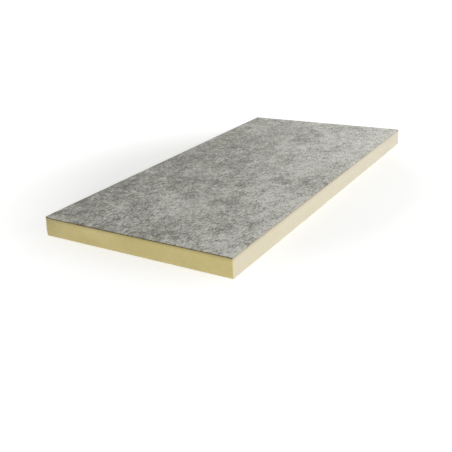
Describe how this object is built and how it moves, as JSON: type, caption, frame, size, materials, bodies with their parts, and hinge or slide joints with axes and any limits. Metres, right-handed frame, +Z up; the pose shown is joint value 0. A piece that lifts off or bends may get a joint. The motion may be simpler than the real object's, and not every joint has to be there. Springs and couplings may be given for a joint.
{
  "type": "polyiso insulation board",
  "caption": "Flat rectangular slab of pale yellow rigid foam with square sawn edges, its upper face covered by a grey mottled fibre facer.",
  "frame": {"origin": "under the middle of the board, on the surface that it lies on", "axes": "+Z up, out of the faced side; +Y along the board's length; +X across its width"},
  "size_m": [0.6, 1.2, 0.055],
  "materials": {
    "foam": "sawn closed-cell rigid foam, pale yellow and matt",
    "facer": "bonded non-woven fibre sheet, mottled grey and matt"
  },
  "bodies": {
    "root": {"foam_core": "foam", "facer": "facer"}
  },
  "joints": []
}
